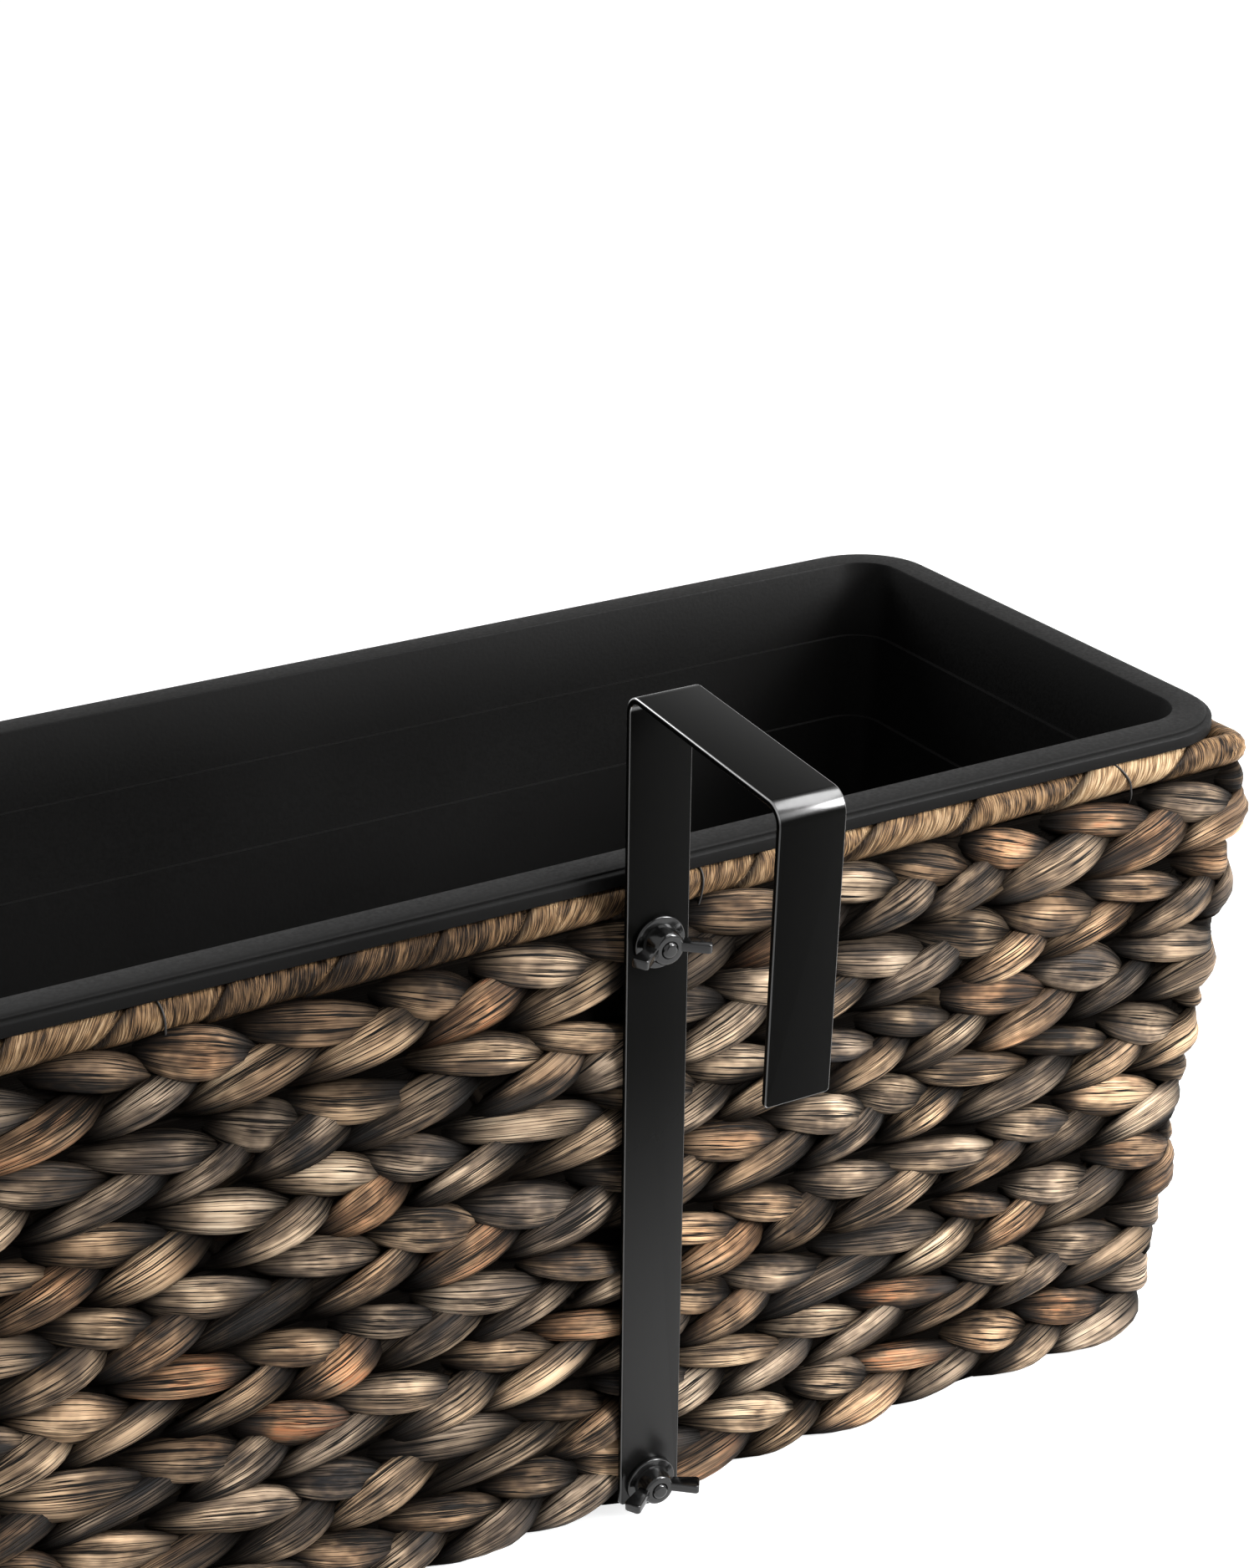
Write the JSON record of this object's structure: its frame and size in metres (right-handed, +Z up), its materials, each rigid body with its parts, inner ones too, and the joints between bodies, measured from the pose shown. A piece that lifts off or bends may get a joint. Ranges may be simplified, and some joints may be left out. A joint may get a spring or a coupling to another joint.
{
  "type": "balcony planter",
  "caption": "Long woven trough planter with a lift-out plastic liner and flat-bar hooks held by wing nuts, for hanging on a railing or standing on a floor.",
  "frame": {"origin": "centre of the basket's base, on the floor", "axes": "+X along the trough, -Y towards the hooks, +Z up"},
  "size_m": [0.7968, 0.2948, 0.2712],
  "materials": {
    "braid": "matt plant fibre",
    "rush_wrap": "matt wound rush",
    "liner_plastic": "matt",
    "frame_steel": "satin",
    "hook_paint": "satin",
    "black_fasteners": "satin"
  },
  "bodies": {
    "basket": {"braid_row_1": "braid", "braid_row_2": "braid", "braid_row_3": "braid", "braid_row_4": "braid", "braid_row_5": "braid", "braid_row_6": "braid", "braid_row_7": "braid", "braid_row_8": "braid", "rim_wrap": "rush_wrap", "base_ring": "frame_steel", "base_cross_rods": "frame_steel", "corner_posts": "frame_steel", "wall_uprights": "frame_steel", "base_braids": "braid", "hook_left": "hook_paint", "hook_right": "hook_paint", "hook_bolts": "black_fasteners", "inner_washers": "black_fasteners"},
    "liner": {"liner": "liner_plastic"},
    "washer_upper_left": {"outer_washer_upper_left": "black_fasteners"},
    "nut_upper_left": {"wing_nut_upper_left": "black_fasteners"},
    "washer_upper_right": {"outer_washer_upper_right": "black_fasteners"},
    "nut_upper_right": {"wing_nut_upper_right": "black_fasteners"},
    "washer_lower_left": {"outer_washer_lower_left": "black_fasteners"},
    "nut_lower_left": {"wing_nut_lower_left": "black_fasteners"},
    "washer_lower_right": {"outer_washer_lower_right": "black_fasteners"},
    "nut_lower_right": {"wing_nut_lower_right": "black_fasteners"}
  },
  "joints": [
    {"name": "liner_lift", "type": "slide", "parent": "basket", "child": "liner", "axis": [0, 0, 1], "range_m": [0, 0.25]},
    {"name": "washer_travel_upper_left", "type": "slide", "parent": "basket", "child": "washer_upper_left", "axis": [0, -0.9988, -0.0489], "range_m": [0, 0.006]},
    {"name": "nut_turn_upper_left", "type": "hinge", "parent": "washer_upper_left", "child": "nut_upper_left", "pos_m": [-0.1785, -0.10728, 0.19477], "axis": [0, -0.9988, -0.0489], "range_deg": [0, 2700]},
    {"name": "washer_travel_upper_right", "type": "slide", "parent": "basket", "child": "washer_upper_right", "axis": [0, -0.9988, -0.0489], "range_m": [0, 0.006]},
    {"name": "nut_turn_upper_right", "type": "hinge", "parent": "washer_upper_right", "child": "nut_upper_right", "pos_m": [0.1785, -0.10728, 0.19477], "axis": [0, -0.9988, -0.0489], "range_deg": [0, 2700]},
    {"name": "washer_travel_lower_left", "type": "slide", "parent": "basket", "child": "washer_lower_left", "axis": [0, -0.9988, -0.0489], "range_m": [0, 0.006]},
    {"name": "nut_turn_lower_left", "type": "hinge", "parent": "washer_lower_left", "child": "nut_lower_left", "pos_m": [-0.1785, -0.09826, 0.01049], "axis": [0, -0.9988, -0.0489], "range_deg": [0, 2700]},
    {"name": "washer_travel_lower_right", "type": "slide", "parent": "basket", "child": "washer_lower_right", "axis": [0, -0.9988, -0.0489], "range_m": [0, 0.006]},
    {"name": "nut_turn_lower_right", "type": "hinge", "parent": "washer_lower_right", "child": "nut_lower_right", "pos_m": [0.1785, -0.09826, 0.01049], "axis": [0, -0.9988, -0.0489], "range_deg": [0, 2700]}
  ],
  "couplings": [
    {"joint": "washer_travel_upper_left", "follows": "nut_turn_upper_left", "m_per_rad": 0.00012732},
    {"joint": "washer_travel_upper_right", "follows": "nut_turn_upper_right", "m_per_rad": 0.00012732},
    {"joint": "washer_travel_lower_left", "follows": "nut_turn_lower_left", "m_per_rad": 0.00012732},
    {"joint": "washer_travel_lower_right", "follows": "nut_turn_lower_right", "m_per_rad": 0.00012732}
  ]
}
